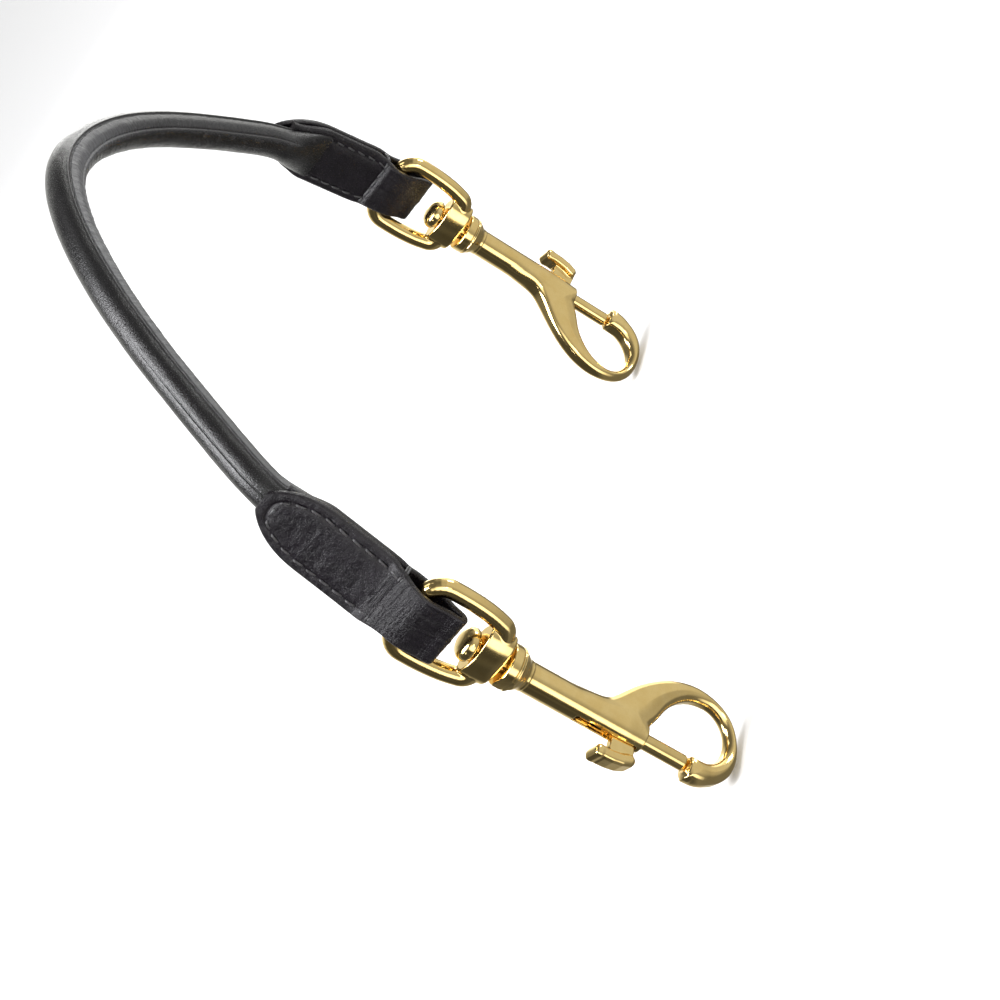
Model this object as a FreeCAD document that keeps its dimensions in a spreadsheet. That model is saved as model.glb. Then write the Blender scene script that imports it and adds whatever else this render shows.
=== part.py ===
"""Rolled leather grab strap with two swivel bolt snaps.

Frame, millimetres: +X from the left snap to the right snap, +Y across the strap's width, +Z up
the arch. The origin is midway between the two snaps, on the arch's centre plane, level with the
lowest point of the hooks.

The strap is one arched rolled handle. Each end opens out into a flat tab, passes through the back
bar of a swivel eye and folds back on the outer side as a round-ended tongue, stitched round its
border. Each swivel eye carries a bolt snap: a stud riveted through the eye's boss, a hook casting
with a bored barrel, a spring, a sliding bolt and its thumb lug. The roll is split at the top of
the arch, where the handle flexes.
"""

import FreeCAD, Part
import math
import os
import Sketcher
from FreeCAD import Placement, Rotation, Vector as V

doc = FreeCAD.newDocument("grab_strap")

# ---------------------------------------------------------------- driving dimensions
# alias, value, meaning
DIMENSIONS = [
    ("eye_spacing", 215.8, "distance between the two swivel axes"),
    ("bar_height", 28.6, "eye's back bar above the collar centre"),
    ("tab_lean", 17.5, "tab's lean from the vertical, degrees"),
    ("ply", 1.9, "leather thickness"),
    ("tab_width", 18.6, "width of the stitched tab and tongue"),
    ("loop_width", 15.0, "width of the leather loop inside the eye"),
    ("loop_gap", 6.7, "clear gap inside the loop"),
    ("loop_end", 11.8, "loop's fold below the back bar"),
    ("tab_core", 1.2, "gap between the two plies of the tab"),
    ("tongue_end", 43.0, "tongue's tip above the back bar"),
    ("roll_rad", 4.9, "outer radius of the rolled handle"),
    ("lumen_rad", 3.15, "radius of the roll's hollow"),
    ("cord_rad", 3.1, "radius of the core cord"),
    ("flex_gap", 1.25, "half of the opening at the top of the arch"),
    ("filler_len", 18.0, "length of the filler between the plies"),
    ("filler_width", 14.0, "width of the filler"),
    ("filler_thick", 1.1, "thickness of the filler"),
    ("wire_rad", 2.35, "radius of the eye's wire"),
    ("boss_len", 7.7, "half of the length of the eye's oval boss"),
    ("boss_deep", 3.9, "half of the depth of the eye's oval boss"),
    ("boss_tall", 7.2, "height of the eye's boss"),
    ("boss_base", 2.8, "boss's underside above the collar centre"),
    ("stud_rad", 2.25, "radius of the swivel stud's stem"),
    ("boss_bore", 2.32, "radius of the hole through the boss"),
    ("head_rad", 4.4, "radius of the stud's riveted head"),
    ("collar_rad", 5.9, "radius of the barrel's collar"),
    ("collar_half", 2.1, "half of the collar's height"),
    ("barrel_rad", 4.0, "outer radius of the barrel"),
    ("nose_rad", 3.7, "outer radius of the barrel's mouth"),
    ("barrel_end", 39.5, "barrel's mouth below the collar centre"),
    ("chamber_rad", 2.6, "radius of the spring chamber"),
    ("chamber_end", 29.0, "spring chamber's floor below the collar centre"),
    ("guide_rad", 2.15, "radius of the bolt's guide hole"),
    ("hook_thick", 5.2, "thickness of the hook across its plane"),
    ("hook_round", 1.3, "rounding along the hook's edges"),
    ("jaw_rad", 7.7, "inner radius of the hook's eye"),
    ("jaw_drop", 55.7, "centre of the hook's eye below the collar centre"),
    ("tip_drop", 53.4, "hook's tip below the collar centre"),
    ("jaw_offset", 9.6, "centre of the hook's eye beside the bolt axis"),
    ("bolt_rad", 2.08, "radius of the bolt"),
    ("bolt_head", 2.5, "radius of the bolt's head in the chamber"),
    ("bolt_back", 22.0, "back of the bolt below the collar centre"),
    ("bolt_nose", 53.0, "nose of the bolt below the collar centre"),
    ("slot_width", 2.5, "width of the barrel's slot"),
    ("slot_top", 20.2, "upper end of the slot below the collar centre"),
    ("slot_foot", 38.2, "lower end of the slot below the collar centre"),
    ("lug_thick", 2.1, "thickness of the lug's web"),
    ("pad_width", 5.6, "width of the lug's thumb pad"),
    ("spring_rad", 2.0, "mean radius of the spring"),
    ("spring_wire", 0.26, "radius of the spring wire"),
    ("spring_top", 6.6, "spring's upper end below the collar centre"),
    ("spring_len", 15.2, "spring's length at rest"),
    ("spring_pitch", 2.4, "spring's pitch at rest"),
    ("thread_rad", 0.38, "radius of the sewing thread"),
    ("stitch_len", 2.9, "length of a stitch that shows"),
    ("stitch_pitch", 4.0, "distance from stitch to stitch"),
    ("swivel_turn", 64.0, "turn of each hook from its eye's plane, degrees"),
]
sheet = doc.addObject("Spreadsheet::Sheet", "dims")
for row, (alias, value, meaning) in enumerate(DIMENSIONS, start=1):
    sheet.set(f"A{row}", alias)
    sheet.set(f"B{row}", str(value))
    sheet.set(f"C{row}", meaning)
    sheet.setAlias(f"B{row}", alias)
dim = {alias: value for alias, value, meaning in DIMENSIONS}
doc.recompute()


# ---------------------------------------------------------------- shared helpers
def bind(feature, **aliases):
    """Sets each property to a driving dimension and ties it to the spreadsheet."""
    for prop, alias in aliases.items():
        setattr(feature, prop, dim[alias])
        feature.setExpression(prop, f"dims.{alias}")


def shift(x, y, z):
    return Placement(V(x, y, z), Rotation())


def new_sketch(body, name, plane="XZ_Plane"):
    sketch = body.newObject("Sketcher::SketchObject", name)
    doc.recompute()
    origin = [f for f in body.Origin.OriginFeatures if f.Role == plane][0]
    sketch.AttachmentSupport = [(origin, "")]
    sketch.MapMode = "FlatFace"
    return sketch


def line(start, end):
    return Part.LineSegment(V(*start, 0), V(*end, 0))


def outline(sketch, points, closed=True):
    """Adds straight edges through points to a sketch, with their ends joined."""
    first = sketch.GeometryCount
    count = len(points) if closed else len(points) - 1
    for i in range(count):
        sketch.addGeometry(line(points[i], points[(i + 1) % len(points)]), False)
    for i in range(count if closed else count - 1):
        following = first + (i + 1) % count
        sketch.addConstraint(Sketcher.Constraint("Coincident", first + i, 2, following, 1))


def spline(points, **tangents):
    curve = Part.BSplineCurve()
    curve.interpolate(Points=[V(*p, 0) for p in points], **tangents)
    return curve


def revolve(body, name, points, kind="PartDesign::Revolution"):
    """Turns a profile of (radius, z) points about the Z axis."""
    sketch = new_sketch(body, name + "_sketch")
    outline(sketch, points)
    feature = body.newObject(kind, name)
    feature.Profile = sketch
    feature.ReferenceAxis = (sketch, ["V_Axis"])
    feature.Angle = 360.0
    doc.recompute()


def make_symmetric(feature):
    # the property's name depends on the FreeCAD version
    if hasattr(feature, "SideType"):
        feature.SideType = "Symmetric"
    else:
        feature.Midplane = True


def pad(body, name, sketch, thickness_alias):
    feature = body.newObject("PartDesign::Pad", name)
    feature.Profile = sketch
    make_symmetric(feature)
    bind(feature, Length=thickness_alias)
    doc.recompute()
    return feature


def is_flat_in_y(box):
    return box.YMax - box.YMin < 1e-3


def add_fillet(body, name, base, is_wanted):
    """Adds a fillet on the edges of base whose bounding boxes pass the test."""
    edges = [f"Edge{i}" for i, edge in enumerate(base.Shape.Edges, start=1)
             if is_wanted(edge.BoundBox)]
    feature = body.newObject("PartDesign::Fillet", name)
    feature.Base = (base, edges)
    return feature


def start_of(edge):
    """Placement at an edge's start, with local Z along the edge."""
    start = edge.FirstParameter
    return Placement(edge.valueAt(start), Rotation(V(0, 0, 1), edge.tangentAt(start)))


def sweep_circle(name, radius_alias, section_place, path, edge_count=1, frenet=False):
    section = doc.addObject("Part::Circle", name + "_section")
    bind(section, Radius=radius_alias)
    section.Placement = section_place
    sweep = doc.addObject("Part::Sweep", name)
    sweep.Sections = [section]
    sweep.Spine = (path, [f"Edge{i + 1}" for i in range(edge_count)])
    sweep.Solid = True
    sweep.Frenet = frenet
    doc.recompute()
    return sweep


def shape_object(name, shape):
    feature = doc.addObject("Part::Feature", name)
    feature.Shape = shape
    return feature


def boolean(kind, name, base, tool):
    feature = doc.addObject(kind, name)
    feature.Base, feature.Tool = base, tool
    return feature


# ---------------------------------------------------------------- bolt snap, in its own frame
# Origin at the collar's centre, +Z up the swivel axis to the eye, +X towards the hook's crown.

HOOK_TOP_Z = -20.0  # hook's flat starts inside the barrel's wall
TIP_OUTER_X = -4.0
RIVET_Z = -34.4  # lug's peg in the bolt

# (x, z) down the crown's outer side and round the bottom, as far as the tip
HOOK_OUTER = [
    (3.9, HOOK_TOP_Z), (4.1, -24.0), (5.4, -27.5), (7.9, -30.3), (10.8, -33.0), (13.9, -36.3),
    (16.8, -40.2), (19.0, -44.2), (20.4, -48.4), (21.0, -52.6), (20.7, -56.8), (19.3, -60.7),
    (16.8, -63.9), (13.4, -66.0), (9.6, -67.0), (5.6, -66.8), (2.0, -65.5), (-1.0, -63.0),
    (-3.0, -59.6), (-3.9, -56.2), (TIP_OUTER_X, -dim["tip_drop"]),
]
# (x, z) up the crown's inner side, between the eye's arc and the barrel's mouth
CROWN_INNER = [(16.9, -52.5), (15.6, -49.5), (13.1, -46.4), (9.7, -43.8), (5.9, -41.8)]
# (x, z) of the lug's web and of its thumb pad
LUG_WEB = [(-2.3, -31.2), (-2.3, -37.4), (-6.6, -38.0), (-9.6, -37.4), (-9.6, -31.6), (-6.4, -30.9)]
THUMB_PAD = [
    (-7.0, -37.6), (-8.4, -37.9), (-10.2, -35.0), (-11.0, -31.6), (-11.2, -28.6),
    (-10.5, -26.8), (-9.2, -26.3), (-8.1, -27.0), (-7.7, -28.8), (-7.3, -32.6),
]


def hook_body(name):
    """Hook, collar and barrel as one casting, bored and slotted for the bolt."""
    body = doc.addObject("PartDesign::Body", name)
    add_hook(body, name)
    add_barrel(body, name)
    slot = body.newObject("PartDesign::SubtractiveBox", name + "_slot")
    slot.Length = 7.0
    bind(slot, Width="slot_width")
    slot.Height = dim["slot_foot"] - dim["slot_top"]
    slot.setExpression("Height", "dims.slot_foot - dims.slot_top")
    slot.Placement = shift(-7.0, -dim["slot_width"] / 2.0, -dim["slot_foot"])
    doc.recompute()
    return body


def add_hook(body, name):
    jaw_x, jaw_z, jaw_radius = dim["jaw_offset"], -dim["jaw_drop"], dim["jaw_rad"]
    tip_z, mouth_z = -dim["tip_drop"], -dim["barrel_end"]
    tip_inner_x = jaw_x - jaw_radius
    crown_foot_x, root_x = 2.6, -0.5
    jaw_circle = Part.Circle(V(jaw_x, jaw_z, 0), V(0, 0, 1), jaw_radius)
    crown_points = [(jaw_x + jaw_radius, jaw_z)] + CROWN_INNER + [(crown_foot_x, mouth_z)]
    sketch = new_sketch(body, name + "_outline")
    for curve in (
        spline(HOOK_OUTER),
        line((TIP_OUTER_X, tip_z), (tip_inner_x, tip_z)),
        line((tip_inner_x, tip_z), (tip_inner_x, jaw_z)),
        # lower half of the hook's eye
        Part.ArcOfCircle(jaw_circle, math.pi, 2.0 * math.pi),
        spline(crown_points, InitialTangent=V(0.0, 1.0, 0), FinalTangent=V(-0.85, 0.55, 0)),
        line((crown_foot_x, mouth_z), (root_x, mouth_z)),
        line((root_x, mouth_z), (root_x, HOOK_TOP_Z)),
        line((root_x, HOOK_TOP_Z), HOOK_OUTER[0]),
    ):
        sketch.addGeometry(curve, False)
    hook = pad(body, name + "_hook", sketch, "hook_thick")

    def is_long_rim(box):
        return is_flat_in_y(box) and box.XMax > 0.0 and box.ZMax - box.ZMin > 5.0

    fillet = add_fillet(body, name + "_round", hook, is_long_rim)
    bind(fillet, Radius="hook_round")
    doc.recompute()


def add_barrel(body, name):
    collar, top, barrel = dim["collar_rad"], dim["collar_half"], dim["barrel_rad"]
    nose, mouth_z = dim["nose_rad"], -dim["barrel_end"]
    revolve(body, name + "_barrel", [
        (0, top), (collar - 0.6, top), (collar, top - 0.6), (collar, -top + 0.9),
        (collar - 0.5, -top + 0.2), (barrel + 0.7, -top), (barrel + 0.15, -top - 0.5),
        (barrel, -top - 1.4), (barrel, -30.0), (nose + 0.1, mouth_z + 1.2), (nose, mouth_z),
        (0, mouth_z)])
    chamber, floor_z, guide = dim["chamber_rad"], -dim["chamber_end"], dim["guide_rad"]
    revolve(body, name + "_bore", [
        (0, top + 1.0), (chamber, top + 1.0), (chamber, floor_z), (guide, floor_z),
        (guide, mouth_z - 0.4), (0, mouth_z - 0.4)], "PartDesign::Groove")


def swivel_stud(name):
    """Plug in the barrel's chamber, stem through the boss and riveted head above it."""
    body = doc.addObject("PartDesign::Body", name)
    stem, head = dim["stud_rad"], dim["head_rad"]
    plug = dim["chamber_rad"] + 0.02
    collar_top = dim["collar_half"]
    boss_top = dim["boss_base"] + dim["boss_tall"]
    revolve(body, name + "_turning", [
        (0, -5.6), (plug - 0.5, -5.6), (plug, -5.1), (plug, collar_top + 0.5),
        (stem, collar_top + 0.7), (stem, boss_top + 0.45), (head - 0.5, boss_top + 0.45),
        (head, boss_top + 1.0), (head, boss_top + 2.0), (head - 0.35, boss_top + 2.9),
        (head - 1.2, boss_top + 3.8), (head - 2.3, boss_top + 4.3), (0, boss_top + 4.45)])
    return body


def place_cylinder_on_rivet(cylinder, radius, length, start_x):
    """Lays a cylinder along -X at the rivet's height."""
    cylinder.Radius, cylinder.Height = radius, length
    cylinder.Placement = Placement(V(start_x, 0, RIVET_Z), Rotation(V(0, 1, 0), -90))
    doc.recompute()


def slide_bolt(name):
    body = doc.addObject("PartDesign::Body", name)
    shank, head = dim["bolt_rad"], dim["bolt_head"]
    back, nose = -dim["bolt_back"], -dim["bolt_nose"]
    revolve(body, name + "_turning", [
        (0, back), (head - 0.3, back), (head, back - 0.3), (head, back - 3.4),
        (shank, back - 4.2), (shank, nose + 0.7), (shank - 0.5, nose), (0, nose)])
    hole = body.newObject("PartDesign::SubtractiveCylinder", name + "_rivet_hole")
    place_cylinder_on_rivet(hole, radius=1.02, length=3.0, start_x=-0.5)
    return body


def thumb_lug(name):
    """Web, thumb pad and rivet peg, as one casting."""
    body = doc.addObject("PartDesign::Body", name)
    web_sketch = new_sketch(body, name + "_web_sketch")
    outline(web_sketch, LUG_WEB)
    pad(body, name + "_web", web_sketch, "lug_thick")
    pad_sketch = new_sketch(body, name + "_pad_sketch")
    outline(pad_sketch, THUMB_PAD)
    thumb_pad = pad(body, name + "_thumb_pad", pad_sketch, "pad_width")

    def is_pad_rim(box):
        return abs(abs(box.YMin) - dim["pad_width"] / 2.0) < 1e-3 and is_flat_in_y(box)

    fillet = add_fillet(body, name + "_round", thumb_pad, is_pad_rim)
    fillet.Radius = 0.8
    doc.recompute()
    peg = body.newObject("PartDesign::AdditiveCylinder", name + "_peg")
    place_cylinder_on_rivet(peg, radius=1.03, length=1.6, start_x=-1.2)
    return body


def coil_spring(name):
    """Spring standing on Z 0, measured at the centre of its wire."""
    helix = doc.addObject("Part::Helix", name + "_path")
    bind(helix, Pitch="spring_pitch")
    helix.Height = dim["spring_len"] - 2 * dim["spring_wire"]
    helix.setExpression("Height", "dims.spring_len - 2 * dims.spring_wire")
    bind(helix, Radius="spring_rad")
    section_place = Placement(V(dim["spring_rad"], 0, 0), Rotation(V(1, 0, 0), 90))
    return sweep_circle(name, "spring_wire", section_place, helix, frenet=True)


def eye_path():
    """Closed centre line of the eye's wire, in the YZ plane."""
    bottom_z, top_z = dim["boss_base"] + 3.2, dim["bar_height"]
    lower_y, lower_radius = 6.0, 3.2  # corners' centres and radii
    upper_y, upper_radius = 5.8, 4.8
    lower_z, upper_z = bottom_z + lower_radius, top_z - upper_radius
    lean = math.radians(-12.0)  # the arms leave the lower corners leaning outwards by this much
    arm_y = lower_y + lower_radius * math.cos(lean)
    arm_z = lower_z + lower_radius * math.sin(lean)
    # (y, z) up the arm
    arm_points = [(arm_y, arm_z), (9.85, 11.6), (10.35, 15.3), (10.6, 19.3),
                  (upper_y + upper_radius, upper_z)]

    def arm(sign):
        curve = Part.BSplineCurve()
        curve.interpolate(Points=[V(0, sign * y, z) for y, z in arm_points],
                          InitialTangent=V(0, -sign * math.sin(lean), math.cos(lean)),
                          FinalTangent=V(0, 0, 1))
        return curve.toShape()

    def corner(y, z, radius, start, end, sign):
        return Part.Arc(*[V(0, sign * (y + radius * math.cos(a)), z + radius * math.sin(a))
                          for a in (start, (start + end) / 2, end)]).toShape()

    def side_edges(sign):
        lower = corner(lower_y, lower_z, lower_radius, -math.pi / 2, lean, sign)
        upper = corner(upper_y, upper_z, upper_radius, 0, math.pi / 2, sign)
        return [lower, arm(sign), upper]

    bottom = Part.LineSegment(V(0, -lower_y, bottom_z), V(0, lower_y, bottom_z)).toShape()
    top = Part.LineSegment(V(0, upper_y, top_z), V(0, -upper_y, top_z)).toShape()
    edges = [bottom] + side_edges(1) + [top] + side_edges(-1)[::-1]
    return Part.Wire(Part.__sortEdges__(edges))


def swivel_eye(name):
    """Closed wire loop with a bored boss, in the collar's frame, its plane being YZ."""
    path = shape_object(name + "_path", eye_path())
    ring = sweep_circle(name + "_ring", "wire_rad", start_of(path.Shape.OrderedEdges[0]), path,
                        edge_count=len(path.Shape.Edges))
    oval = doc.addObject("Part::Ellipse", name + "_boss_oval")
    bind(oval, MajorRadius="boss_len", MinorRadius="boss_deep")
    oval.Placement = Placement(V(0, 0, dim["boss_base"]), Rotation(V(0, 0, 1), 90))
    doc.recompute()
    block = doc.addObject("Part::Extrusion", name + "_boss_block")
    block.Base = oval
    block.DirMode = "Custom"
    block.Dir = V(0, 0, 1)
    bind(block, LengthFwd="boss_tall")
    block.Solid = True
    doc.recompute()
    boss = doc.addObject("Part::Fillet", name + "_boss")
    boss.Base = block
    rounding = 0.7
    boss.Edges = [(i, rounding, rounding) for i, edge in enumerate(block.Shape.Edges, start=1)
                  if edge.BoundBox.ZMax - edge.BoundBox.ZMin < 0.01]
    doc.recompute()
    casting = boolean("Part::Fuse", name + "_casting", ring, boss)
    bore = doc.addObject("Part::Cylinder", name + "_bore")
    bind(bore, Radius="boss_bore")
    bore.Height = 20.0
    bore.Placement = shift(0, 0, -2)
    eye = boolean("Part::Cut", name, casting, bore)
    doc.recompute()
    return eye


hooks = {side: hook_body(f"{side}_hook_body") for side in ("left", "right")}

# ---------------------------------------------------------------- leather
# sign is -1 for the left half and +1 for the right half.
# In a tab's frame, "up" runs up the tab from the eye's back bar and "out" runs outwards from the
# middle of the tab's thickness.

# height of both collar centres, which puts the hooks' lowest point at Z 0
COLLAR_Z = -hooks["left"].Shape.optimalBoundingBox().ZMin
AXIS_X = dim["eye_spacing"] / 2.0
LEAN = math.radians(dim["tab_lean"])
TONGUE_END = dim["tongue_end"]
LOOP_TOP = 4.0  # up to here the plies are apart and the band has the loop's width
PLIES_MEET = 8.5  # from here up the plies lie at the tab's gap
FULL_WIDTH_FROM = 9.0
ROUND_LEN = 16.0  # length of the tongue's rounded end
INNER_PLY_END = 31.0
ROLL_OUT = -4.1  # roll's centre line beside the tab's middle

# (x, z above the collar) of the roll's centre line, from the top of the arch down to the tab
ARCH = [(0.0, 130.6), (16.4, 128.0), (32.2, 121.6), (46.8, 112.6), (59.6, 102.2), (71.6, 90.4),
        (83.2, 78.0)]
# stations of the band's trimmed outline: up from the back bar, then down from the tongue's tip
TRIM_BOTTOM = -13.0
TRIM_UP = [TRIM_BOTTOM, 0.0, LOOP_TOP, 5.5, 6.5, 7.5, FULL_WIDTH_FROM, 20.0]
TRIM_FROM_TIP = [ROUND_LEN, 14.0, 12.0, 10.0, 8.0, 6.0, 4.4, 3.0, 1.9, 1.0, 0.4, 0.0]


def tab_point(sign, up, out, y=0.0):
    return V(sign * (AXIS_X - up * math.sin(LEAN) + out * math.cos(LEAN)), y,
             COLLAR_Z + dim["bar_height"] + up * math.cos(LEAN) + out * math.sin(LEAN))


def tab_place(sign):
    """Tab frame: local X up the tab, local Y outwards, local Z along the width."""
    up = V(-sign * math.sin(LEAN), 0, math.cos(LEAN))
    out = V(sign * math.cos(LEAN), 0, math.sin(LEAN))
    axes = FreeCAD.Matrix(up.x, out.x, 0, 0, up.y, out.y, sign, 0, up.z, out.z, 0, 0, 0, 0, 0, 1)
    return Placement(tab_point(sign, 0, 0), Placement(axes).Rotation)


def tongue_half_width(up):
    full, loop, tip = dim["tab_width"] / 2, dim["loop_width"] / 2, 2.5
    if up <= LOOP_TOP:
        return loop
    if up < FULL_WIDTH_FROM:
        part = (up - LOOP_TOP) / (FULL_WIDTH_FROM - LOOP_TOP)
        return loop + (full - loop) * part * part * (3 - 2 * part)
    to_tip = TONGUE_END - up
    if to_tip >= ROUND_LEN:
        return full
    part = max(0.0, to_tip) / ROUND_LEN
    return tip + (full - tip) * (1 - (1 - part) ** 2.2) ** 0.8


def roll_curve(sign):
    """Centre line of one half of the roll, from the top of the arch down under the tongue."""
    points = [V(sign * x, 0, COLLAR_Z + z) for x, z in ARCH]
    points += [tab_point(sign, TONGUE_END - drop, ROLL_OUT) for drop in (2.0, 9.0, ROUND_LEN)]
    curve = Part.BSplineCurve()
    curve.interpolate(Points=points, InitialTangent=V(sign, 0, 0),
                      FinalTangent=tab_point(sign, 0, 0) - tab_point(sign, 1, 0))
    return curve


def bisect(low, high, is_before):
    """Parameter at which is_before turns false."""
    for _ in range(60):
        middle = (low + high) / 2
        if is_before(middle):
            low = middle
        else:
            high = middle
    return (low + high) / 2


def param_at_x(curve, distance):
    """Parameter near the top of the arch, at a distance from the arch's middle."""
    start = curve.FirstParameter
    high = start + (curve.LastParameter - start) * 0.3
    return bisect(start, high, lambda p: abs(curve.value(p).x) < distance)


def param_at_tab(curve, sign, back=0.0):
    """Parameter 3 mm below the tongue's tip along the tab, or higher up by back."""
    target = tab_point(sign, TONGUE_END - 3.0 + back, ROLL_OUT).z
    return bisect(curve.FirstParameter, curve.LastParameter, lambda p: curve.value(p).z > target)


def tube(name, curve, start, end, radius_alias):
    path = shape_object(name + "_path", curve.toShape(start, end))
    return sweep_circle(name, radius_alias, start_of(path.Shape.Edges[0]), path)


def flat_band(name, sign):
    """Tongue, outer ply, fold and inner ply, trimmed to the tongue's outline."""
    ply, loop, core = dim["ply"], dim["loop_gap"] / 2, dim["tab_core"] / 2
    fold = -(dim["loop_end"] - loop - ply)
    body = doc.addObject("PartDesign::Body", name)
    section = new_sketch(body, name + "_section", "XY_Plane")

    def add_fold(radius):
        circle = Part.Circle(V(fold, 0, 0), V(0, 0, 1), radius)
        section.addGeometry(Part.ArcOfCircle(circle, math.pi / 2, 3 * math.pi / 2), False)

    outline(section, [
        (TONGUE_END, core), (TONGUE_END, core + ply), (PLIES_MEET, core + ply),
        (LOOP_TOP, loop + ply), (fold, loop + ply)], closed=False)
    add_fold(loop + ply)
    outline(section, [
        (fold, -loop - ply), (LOOP_TOP, -loop - ply), (PLIES_MEET, -core - ply),
        (INNER_PLY_END, -core - ply), (INNER_PLY_END, -core), (PLIES_MEET, -core),
        (LOOP_TOP, -loop), (fold, -loop)], closed=False)
    add_fold(loop)
    outline(section, [(fold, loop), (LOOP_TOP, loop), (PLIES_MEET, core), (TONGUE_END, core)],
            closed=False)
    pad(body, name + "_pad", section, "tab_width")

    trim_sketch = new_sketch(body, name + "_outline")
    stations = TRIM_UP + [TONGUE_END - drop for drop in TRIM_FROM_TIP]
    edge = [(up, tongue_half_width(up)) for up in stations]
    trim_end, trim_side = TONGUE_END + 3.0, 14.0
    for side in (1, -1):
        outline(trim_sketch, [(up, side * width) for up, width in edge] + [
            (trim_end, side * edge[-1][1]), (trim_end, side * trim_side),
            (TRIM_BOTTOM, side * trim_side)])
    trim = body.newObject("PartDesign::Pocket", name + "_trim")
    trim.Profile = trim_sketch
    make_symmetric(trim)
    trim.Type = "Length"
    trim.Length = 40.0
    doc.recompute()
    body.Placement = tab_place(sign)
    return body


def strap_half(name, sign, curve):
    """Flat band fused to its half of the roll, which is hollow."""
    band = flat_band(name + "_band", sign)
    top = param_at_x(curve, dim["flex_gap"])
    roll = tube(name + "_roll", curve, top, curve.LastParameter, "roll_rad")
    # the wedge takes off the roll's inner side, more and more down the tab
    wedge = doc.addObject("Part::Box", name + "_wedge")
    wedge.Length, wedge.Width, wedge.Height = 60.0, 30.0, 30.0
    slope = math.atan2(6.9, ROUND_LEN)
    tilt = Placement(V(TONGUE_END - ROUND_LEN, -2.5, -15.0),
                     Rotation(V(0, 0, 1), -math.degrees(slope)))
    wedge.Placement = tab_place(sign).multiply(tilt).multiply(shift(-20.0, -30.0, 0))
    thinned = boolean("Part::Cut", name + "_thinned_roll", roll, wedge)
    whole = boolean("Part::Fuse", name + "_whole", band, thinned)
    lumen = tube(name + "_lumen", curve, curve.FirstParameter, param_at_tab(curve, sign),
                 "lumen_rad")
    strap = boolean("Part::Cut", name, whole, lumen)
    doc.recompute()
    return strap


def core_cord(name, sign, curve):
    start, end = param_at_x(curve, dim["flex_gap"]), param_at_tab(curve, sign, 0.3)
    return tube(name, curve, start, end, "cord_rad")


def tab_filler(name, sign):
    filler = doc.addObject("Part::Box", name)
    bind(filler, Length="filler_len", Width="filler_thick", Height="filler_width")
    corner = shift(8.7, -dim["filler_thick"] / 2, -dim["filler_width"] / 2)
    filler.Placement = tab_place(sign).multiply(corner)
    doc.recompute()
    return filler


def stitch(start, end, radius):
    """One stitch: a round thread between two points."""
    along = end - start
    return Part.makeCylinder(radius, along.Length, start, along)


def tab_stitching(name, sign):
    """Stitches round the tongue's face and, below the roll, on the tab's inner face too."""
    length, pitch = dim["stitch_len"], dim["stitch_pitch"]
    inset = 2.2  # from the tongue's edge
    bottom, top = 9.2, TONGUE_END - inset
    inner_limit = 26.5
    side_steps, top_steps = 400, 40
    stations = [bottom + (top - bottom) * i / side_steps for i in range(side_steps + 1)]
    flank = [(up, tongue_half_width(up + inset * 0.55) - inset) for up in stations]
    half = flank[-1][1]
    # (up, y) along one side, across the top and back down the other side
    seam = flank + [(top, half - 2 * half * i / top_steps) for i in range(1, top_steps + 1)]
    seam += [(up, -y) for up, y in flank[::-1]]
    travel = [0.0]
    for a, b in zip(seam, seam[1:]):
        travel.append(travel[-1] + math.hypot(a[0] - b[0], a[1] - b[1]))

    def seam_point(distance):
        for i in range(len(travel) - 1):
            if travel[i + 1] >= distance:
                part = (distance - travel[i]) / (travel[i + 1] - travel[i])
                (up0, y0), (up1, y1) = seam[i], seam[i + 1]
                return up0 + (up1 - up0) * part, y0 + (y1 - y0) * part
        return seam[-1]

    count = int((travel[-1] - length) / pitch) + 1
    first = (travel[-1] - (count - 1) * pitch - length) / 2
    face = dim["tab_core"] / 2 + dim["ply"] - 0.05
    solids = []
    for i in range(count):
        distance = first + i * pitch
        (up0, y0), (up1, y1) = seam_point(distance), seam_point(distance + length)
        faces = (face, -face) if max(up0, up1) < inner_limit else (face,)
        for out in faces:
            solids.append(stitch(tab_point(sign, up0, out, y0), tab_point(sign, up1, out, y1),
                                 dim["thread_rad"]))
    return shape_object(name, Part.makeCompound(solids))


def seam_stitching(name, sign, curve):
    """Row of stitches that closes the roll, on the handle's -Y side, turned a little outwards."""
    radius, length = dim["thread_rad"] * 0.85, dim["stitch_len"] * 0.9
    turn = math.radians(74.0)  # from the arch's outer side towards -Y
    start, end = param_at_x(curve, 4.0), param_at_tab(curve, sign, 4.0)
    steps = 600
    params = [start + (end - start) * i / steps for i in range(steps + 1)]
    points = [curve.value(p) for p in params]
    travel = [0.0]
    for a, b in zip(points, points[1:]):
        travel.append(travel[-1] + (b - a).Length)

    def surface_point(distance):
        i = min(range(len(travel)), key=lambda j: abs(travel[j] - distance))
        outward = curve.tangent(params[i])[0].cross(V(0, 1, 0))
        if outward.x * sign < 0 or (abs(outward.x) < 0.2 and outward.z < 0):
            outward = outward * -1
        direction = outward * math.cos(turn) + V(0, -1, 0) * math.sin(turn)
        return points[i] + direction * (dim["roll_rad"] - 0.02)

    solids = []
    distance = 0.5
    while distance + length < travel[-1]:
        solids.append(stitch(surface_point(distance), surface_point(distance + length), radius))
        distance += dim["stitch_pitch"]
    return shape_object(name, Part.makeCompound(solids))


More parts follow.
